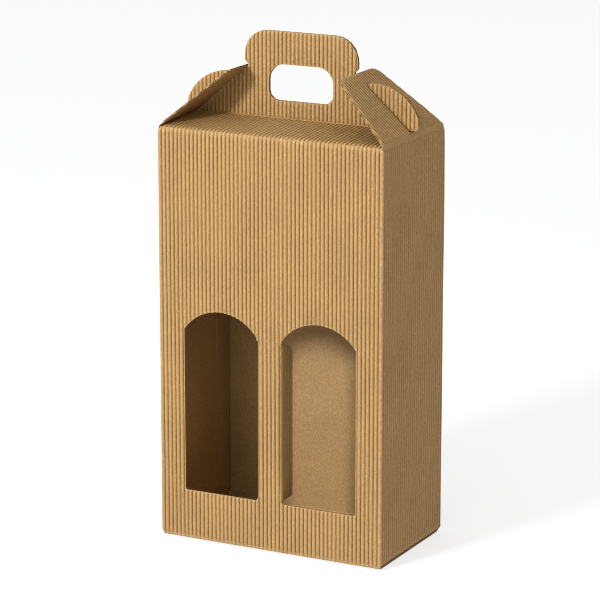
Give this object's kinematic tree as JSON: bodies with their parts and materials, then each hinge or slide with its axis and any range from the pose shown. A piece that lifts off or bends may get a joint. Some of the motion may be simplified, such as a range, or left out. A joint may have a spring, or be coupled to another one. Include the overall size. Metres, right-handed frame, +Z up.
{
  "type": "jar carrier",
  "caption": "Folding carry carton of open-flute kraft board for tall jars, with arched front windows, a finger-hole handle and lock flaps that slot over the handle's ears.",
  "frame": {"origin": "middle of the carton's footprint, at the level of the surface it stands on", "axes": "+Z up, +Y to the back, away from the windows, +X to the right as seen from the front"},
  "size_m": [0.144, 0.08, 0.2902],
  "materials": {
    "fluted_board": "unbleached kraft, matt, open flutes outside and smooth liner inside"
  },
  "bodies": {
    "carton": {"carton": "fluted_board"},
    "left_flap": {"left_flap": "fluted_board"},
    "right_flap": {"right_flap": "fluted_board"}
  },
  "joints": [
    {"name": "left_flap_fold", "type": "hinge", "parent": "carton", "child": "left_flap", "pos_m": [-0.0691, 0, 0.2387], "axis": [0, -1, 0], "range_deg": [0, 170]},
    {"name": "right_flap_fold", "type": "hinge", "parent": "carton", "child": "right_flap", "pos_m": [0.0691, 0, 0.2387], "axis": [0, 1, 0], "range_deg": [0, 170]}
  ]
}
